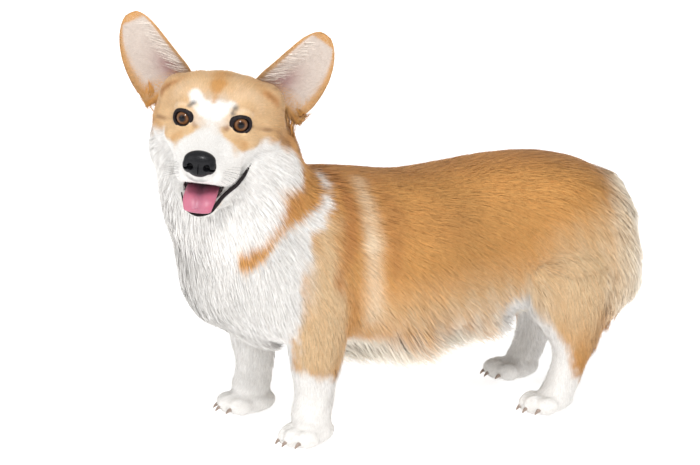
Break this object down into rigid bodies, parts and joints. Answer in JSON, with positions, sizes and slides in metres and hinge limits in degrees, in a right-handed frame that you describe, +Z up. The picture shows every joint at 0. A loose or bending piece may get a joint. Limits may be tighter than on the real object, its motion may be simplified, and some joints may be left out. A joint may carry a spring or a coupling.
{
  "type": "pembroke welsh corgi",
  "caption": "Pembroke Welsh Corgi standing square on its short legs, head turned to its left, mouth open, ears upright, tail bobbed; still life-size model.",
  "frame": {"origin": "on the floor, under the middle of the bounding box", "axes": "the dog faces -Y, its left side is +X, +Z is up; its head is turned towards +X"},
  "size_m": [0.2138, 0.548, 0.4314],
  "materials": {
    "ear_coat": "short velvet coat on thin ear cartilage",
    "eye": "wet, dark brown iris with a dark pupil",
    "nose_leather": "black, pebbled, slightly moist",
    "tan_coat": "medium-length red-tan double coat, slightly rough",
    "tongue": "pink, moist",
    "white_coat": "white coat of muzzle, bib, legs and feet"
  },
  "bodies": {
    "root": {"ear_left": "ear_coat", "ear_right": "ear_coat", "eye_left": "eye", "eye_right": "eye", "front_leg_left": "tan_coat", "front_leg_right": "white_coat", "front_paw_left": "white_coat", "front_paw_right": "white_coat", "head": "tan_coat", "hind_leg_left": "tan_coat", "hind_leg_right": "tan_coat", "hind_paw_left": "white_coat", "hind_paw_right": "white_coat", "jaw": "white_coat", "neck": "tan_coat", "nose": "nose_leather", "tail": "tan_coat", "tongue": "tongue", "torso": "tan_coat"}
  },
  "joints": []
}
